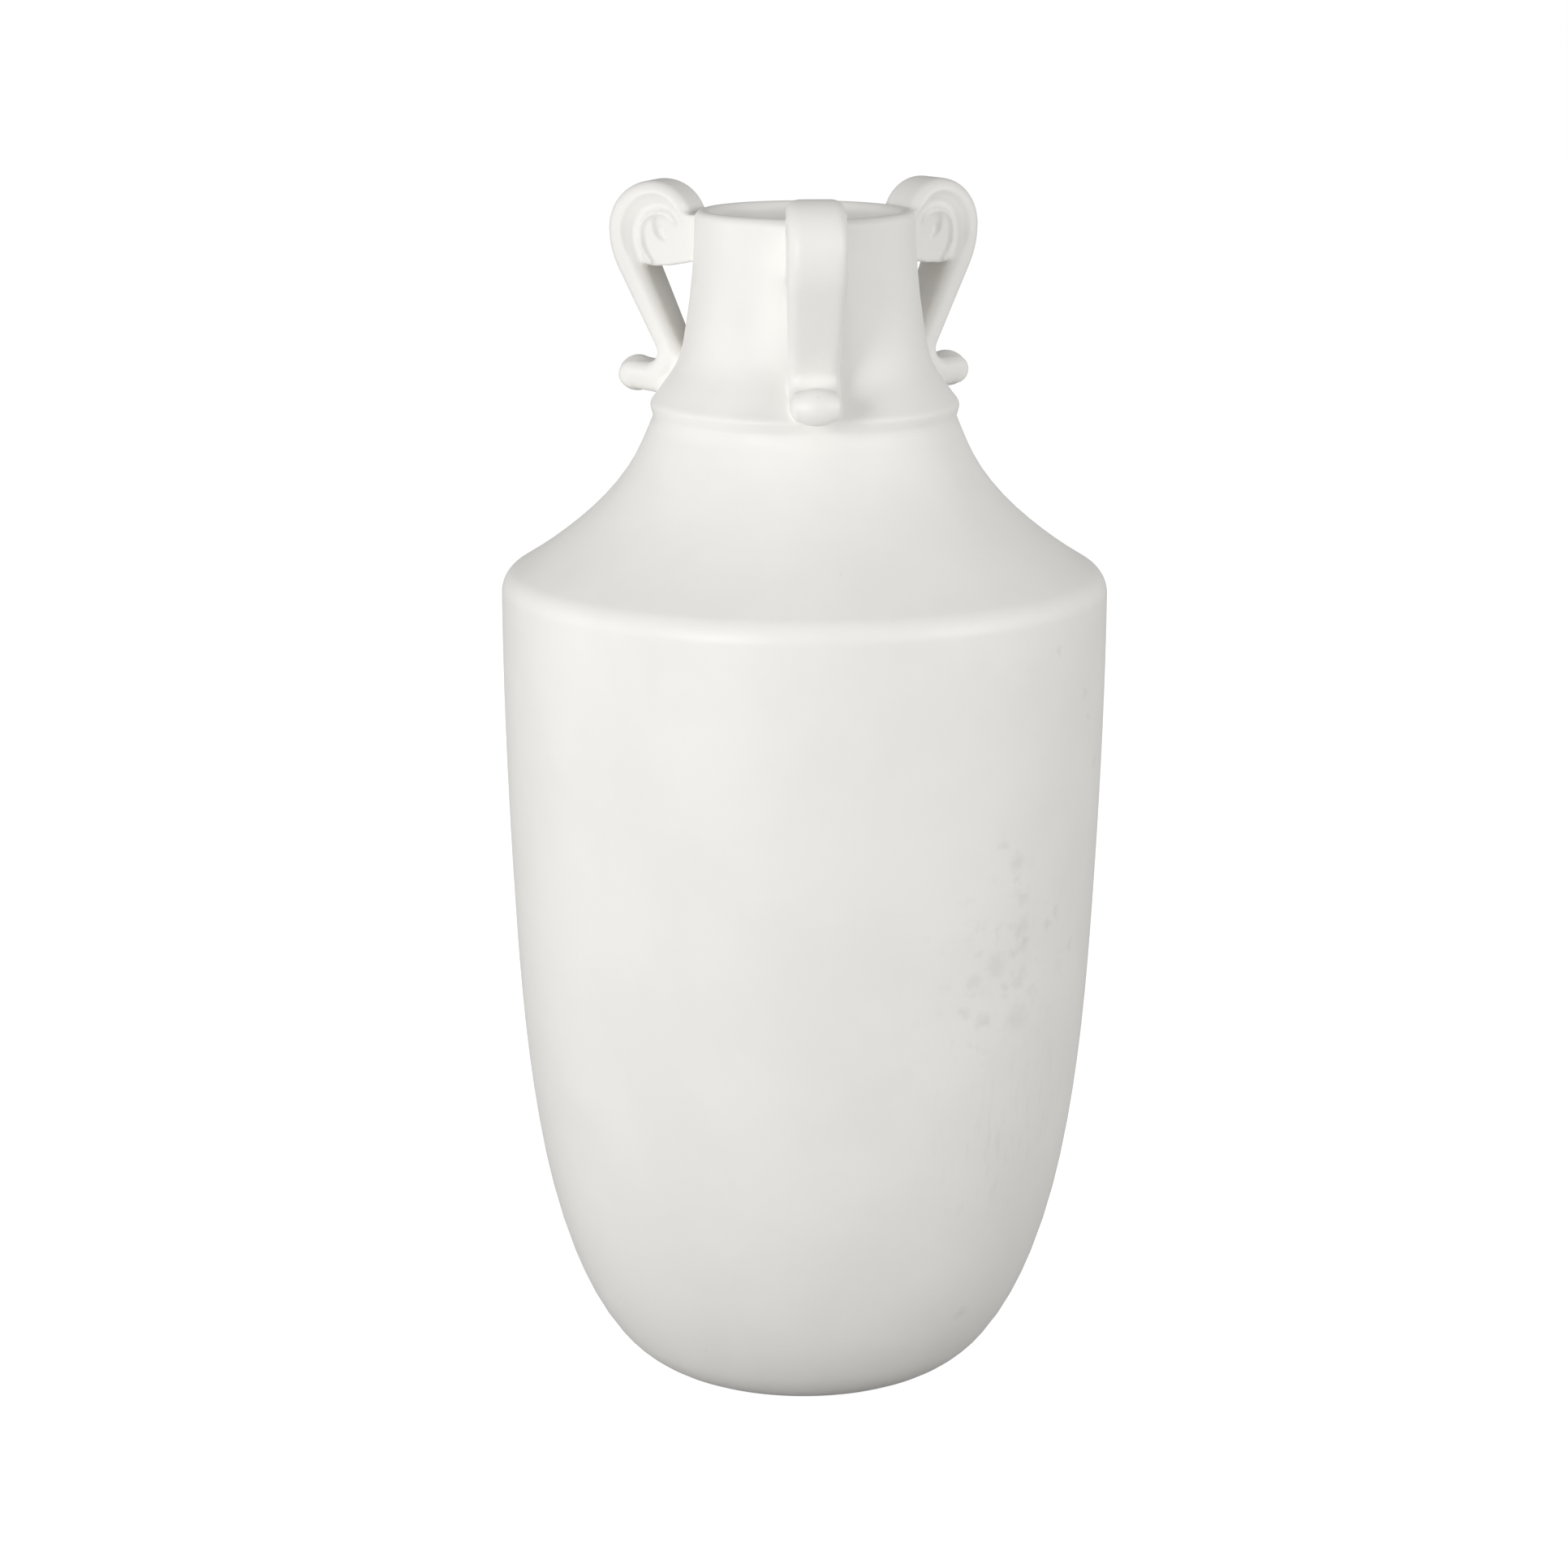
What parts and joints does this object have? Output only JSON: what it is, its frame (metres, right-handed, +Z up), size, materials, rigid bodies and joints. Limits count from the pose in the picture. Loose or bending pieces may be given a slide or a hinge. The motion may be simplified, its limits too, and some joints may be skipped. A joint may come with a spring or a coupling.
{
  "type": "amphora vase",
  "caption": "Tall white glazed amphora vase with straight tapering sides, a hollow sloping shoulder, a narrow flared neck and rolled scroll handles that rise above the rim.",
  "frame": {"origin": "on the vase's axis, at the plane that the foot ring rests on", "axes": "+Z up along the axis of the body; -Y towards the near handle; +X to the right of it"},
  "size_m": [0.25, 0.25, 0.5],
  "materials": {
    "glazed_stoneware": "satin"
  },
  "bodies": {
    "root": {"amphora_vase": "glazed_stoneware"}
  },
  "joints": []
}
